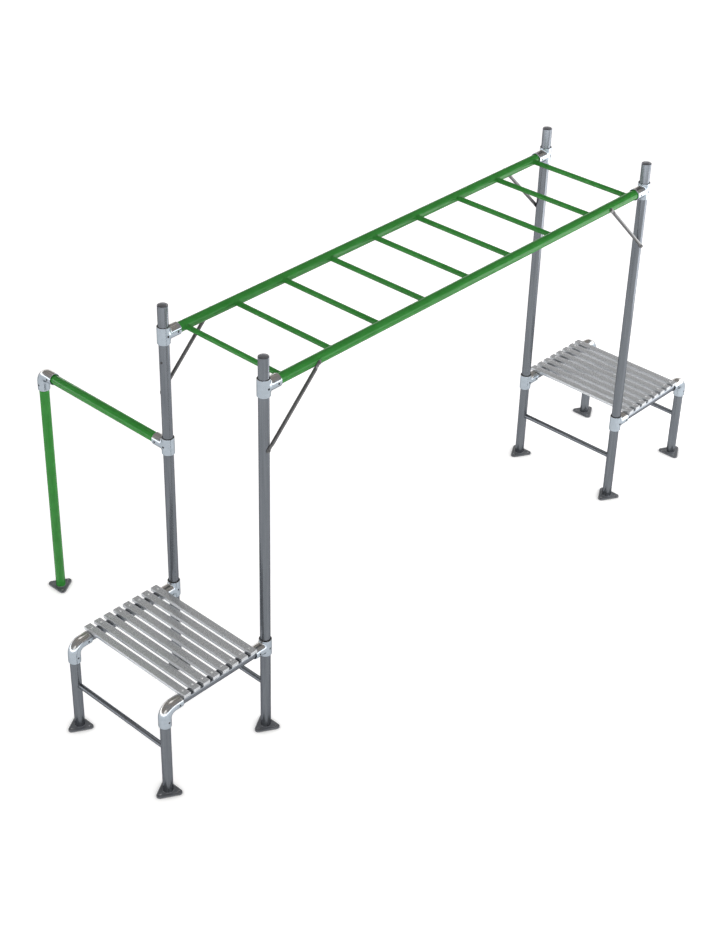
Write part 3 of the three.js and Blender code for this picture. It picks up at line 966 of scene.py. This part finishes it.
def makeSlatTree():
    tree, given, out = newGroup("slatTree", "Geometry", {
        "Count": ("Int", 8), "First": ("Vector", (0, 0, 0)), "Pitch": ("Float", 0.057),
        "Width": ("Float", 0.038), "Height": ("Float", 0.017), "Length": ("Float", 0.67),
        "Wall": ("Float", 0.002), "Corner": ("Float", 0.002), "End Chamfer": ("Float", 0.0008),
        "Rivet Spacing": ("Float", 0.61), "Rivet Radius": ("Float", 0.005),
        "Rivet Height": ("Float", 0.0016), "Slat Metal": ("Material", None),
        "Rivet Metal": ("Material", None)})

    # the path along the slat has four points, so that both ends can be drawn in a little
    halfLength = times(tree, given["Length"], 0.5)
    line = grow(tree, "CurvePrimitiveLine", {
        "Start": combine(tree, 0, times(tree, halfLength, -1)), "End": combine(tree, 0, halfLength)})
    four = grow(tree, "SubdivideCurve", {"Curve": line, "Cuts": 2})
    factor = put(tree, "GeometryNodeSplineParameter").outputs["Factor"]
    side = calc(tree, "SUBTRACT", factor, 0.5)
    inner = calc(tree, "LESS_THAN", calc(tree, "ABSOLUTE", side), 0.3)
    drawnBack = calc(tree, "SUBTRACT", halfLength, times(tree, inner, given["End Chamfer"]))
    along = times(tree, calc(tree, "SIGN", side), drawnBack)
    path = grow(tree, "SetPosition", {"Geometry": four, "Position": combine(tree, 0, along)})
    size = rescale(tree, inner, 0.0, 1.0, 0.955)
    path = grow(tree, "SetCurveRadius", {"Curve": path, "Radius": size})

    outline = grow(tree, "CurvePrimitiveQuadrilateral", {
        "Width": given["Width"], "Height": given["Height"]})
    rounded = grow(tree, "FilletCurve", {
        "Curve": outline, "Count": 4, "Radius": given["Corner"]}, mode="POLY")
    bar = grow(tree, "CurveToMesh", {"Curve": path, "Profile Curve": rounded, "Fill Caps": True})

    # folded sheet: hollow from below
    twoWalls = times(tree, given["Wall"], 2)
    hollow = grow(tree, "MeshCube", {"Size": combine(
        tree, calc(tree, "SUBTRACT", given["Width"], twoWalls),
        calc(tree, "SUBTRACT", given["Length"], twoWalls), given["Height"])})
    hollow = grow(tree, "Transform", {
        "Geometry": hollow, "Translation": combine(tree, 0, 0, times(tree, given["Wall"], -1))})
    folded = grow(tree, "SetMaterial", {
        "Geometry": cutOut(tree, bar, hollow), "Material": given["Slat Metal"]})

    # round rivet head over each side tube
    ball = grow(tree, "MeshUVSphere", {"Segments": 24, "Rings": 12, "Radius": 1.0})
    dome = grow(tree, "Transform", {"Geometry": ball, "Scale": combine(
        tree, given["Rivet Radius"], given["Rivet Radius"], given["Rivet Height"])})
    dome = grow(tree, "SetMaterial", {"Geometry": dome, "Material": given["Rivet Metal"]})
    rivets = rowOf(tree, dome, 2, combine(
        tree, 0, times(tree, given["Rivet Spacing"], -0.5), times(tree, given["Height"], 0.5)),
        combine(tree, 0, given["Rivet Spacing"]))

    placed = rowOf(tree, joined(tree, folded, rivets), given["Count"], given["First"],
                   combine(tree, given["Pitch"]))
    tree.links.new(grow(tree, "RealizeInstances", {0: placed}), out)
    return tree


slatTree = makeSlatTree()
for end in ends:
    names = [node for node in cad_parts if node.startswith(f"slat_{end}_")]
    first, second = middleOf(f"slat_{end}_1"), middleOf(f"slat_{end}_2")
    size = sizeOf(f"slat_{end}_1")
    field = growNodes(slatTree, {
        **slats, "Count": len(names), "First": tuple(first), "Pitch": second.x - first.x,
        "Width": size.x, "Height": size.z, "Length": size.y, "Rivet Spacing": railSpacing,
        "Slat Metal": metalSlat, "Rivet Metal": metals["rivetMetal"]})
    finishPiece(f"step_{end}_slats", field, names, sharpAngle=30)
print("steps made")

feet = {
    "holeCircle": 0.050,
    "cornerRadius": 0.015,
    "cornerSteps": 14,
    "holeRadius": 0.006,
    "edge": 0.0012,
    "weldRise": 0.0005,
}


def footMesh():
    # rounded triangle with an anchor hole in each corner, one corner along +X
    outline, holes = [], []
    for angle in turnsOf(3):
        centre = Vector((math.cos(angle), math.sin(angle), 0)) * feet["holeCircle"]
        for i in range(feet["cornerSteps"] + 1):
            t = angle - math.pi / 3 + 2 * math.pi / 3 * i / feet["cornerSteps"]
            outline.append(centre + Vector((math.cos(t), math.sin(t), 0)) * feet["cornerRadius"])
        holes.append(rod(centre + down * 0.01, centre + up * 0.03, feet["holeRadius"], 32))
    build = bmesh.new()
    skinRings(build, [outline, [point + up * footTop for point in outline]])
    piece = scratch(carve(toMesh(build), holes, paintFoot, metals["boreMetal"]))
    bevel = piece.modifiers.new("edges", "BEVEL")
    bevel.width, bevel.segments, bevel.limit_method = feet["edge"], 3, "ANGLE"
    bevel.angle_limit = math.radians(50)
    mesh = applied(piece)
    welded = bmesh.new()
    welded.from_mesh(mesh)
    addWeld(welded, up * (footTop + feet["weldRise"]), up, tubeRadius)
    welded.to_mesh(mesh)
    welded.free()
    return mesh


footShape = footMesh()
for node in [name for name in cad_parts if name.startswith("foot_")]:
    if node == "foot_side_post":
        axis = sidePostAxis
    else:
        _, kind, end, side = node.split("_")
        axis = postAxis(end, side) if kind == "post" else legAxis(end, side)
    # the first corner points the way that the node's box reaches farther
    turn = 0 if middleOf(node).x > axis.x else math.pi
    mesh = footShape.copy()
    mesh.transform(Matrix.Translation(axis) @ Matrix.Rotation(turn, 4, "Z"))
    finishPiece(node + "_plate", mesh, [node])
print("feet made")

studio = {
    "floorRadius": 60,
    "floorColour": 0.74,
    "floorGlow": 0.68,
    "contact": (0.045, 1.6),  # reach and depth of the shade close to the plates
    "contactLean": (0.6, 0.6, 0.52),  # the shade lies on the near left side of what casts it
    "sky": (0.36, 0.345, 0.335, 1),
    "horizon": (1.0, 1.0, 1.02, 1),
    "horizonStrength": 4.0,  # a low ring of softboxes all round
    "horizonHeight": 0.17,  # sine of its elevation
    "horizonFade": 0.02,
}
# wide suns: where each comes from; they share one angle across and one strength
suns = {
    "low left": (-0.80, -0.42, 0.43),
    "high": (0.25, 0.20, 0.95),
}
sunLook = {"angle": 30.0, "energy": 0.27}
softbox = {"place": (3.3, -1.85, 0.95), "aim": (1.4, -0.4, 1.4), "size": (3.4, 1.6), "power": 52}


def makeFloor():
    build = bmesh.new()
    bmesh.ops.create_circle(build, cap_ends=True, segments=64, radius=studio["floorRadius"])
    mesh = bpy.data.meshes.new("floor")
    build.to_mesh(mesh)
    build.free()
    material = bpy.data.materials.new("floorWhite")
    material.use_nodes = True
    tree = material.node_tree
    tree.nodes.clear()
    reach, depth = studio["contact"]
    close = put(tree, "ShaderNodeAmbientOcclusion", {
        "Distance": reach, "Normal": studio["contactLean"]}, samples=4).outputs["AO"]
    shade = calc(tree, "POWER", close, depth)
    grey = times(tree, shade, studio["floorColour"])
    matte = put(tree, "ShaderNodeBsdfDiffuse", {"Color": combine(tree, grey, grey, grey)}).outputs[0]
    # the camera and mirroring surfaces see the floor white
    path = put(tree, "ShaderNodeLightPath").outputs
    seen = calc(tree, "MAXIMUM", calc(tree, "MAXIMUM", path["Is Camera Ray"], path["Is Glossy Ray"]),
                path["Is Transmission Ray"])
    glow = put(tree, "ShaderNodeEmission", {
        "Color": (1, 1, 1, 1), "Strength": times(tree, shade, times(tree, seen, studio["floorGlow"]))})
    total = put(tree, "ShaderNodeAddShader", {0: matte, 1: glow.outputs[0]}).outputs[0]
    put(tree, "ShaderNodeOutputMaterial", {"Surface": total})
    mesh.materials.append(material)
    floor = bpy.data.objects.new("floor", mesh)
    bpy.context.scene.collection.objects.link(floor)


def makeSky():
    world = bpy.data.worlds.new("sky")
    bpy.context.scene.world = world
    world.use_nodes = True
    tree = world.node_tree
    height, fade = studio["horizonHeight"], studio["horizonFade"]
    heading = separate(tree, put(tree, "ShaderNodeTexCoord").outputs["Generated"])
    ring = rescale(tree, heading["Z"], height + fade, height - fade)
    sky = tree.nodes["Background"]
    sky.inputs["Color"].default_value = studio["sky"]
    low = put(tree, "ShaderNodeBackground", {
        "Color": studio["horizon"], "Strength": studio["horizonStrength"]}).outputs[0]
    mixed = put(tree, "ShaderNodeMixShader", {0: ring, 1: sky.outputs[0], 2: low}).outputs[0]
    tree.links.new(mixed, tree.nodes["World Output"].inputs["Surface"])


def makeLamp(name, kind, place, towards, **settings):
    data = bpy.data.lights.new(name, kind)
    for key, value in settings.items():
        setattr(data, key, value)
    light = bpy.data.objects.new(name, data)
    light.location = place
    light.rotation_euler = Vector(towards).to_track_quat("-Z", "Y").to_euler()
    light.visible_camera = False
    bpy.context.scene.collection.objects.link(light)


makeFloor()
makeSky()
for name, source in suns.items():
    makeLamp(name, "SUN", Vector(source) * 10, -Vector(source), angle=math.radians(sunLook["angle"]),
             energy=sunLook["energy"])
makeLamp("softbox", "AREA", softbox["place"], Vector(softbox["aim"]) - Vector(softbox["place"]),
         shape="RECTANGLE", size=softbox["size"][0], size_y=softbox["size"][1], energy=softbox["power"])
bpy.context.scene.view_settings.view_transform = "Standard"
print("floor and light made")
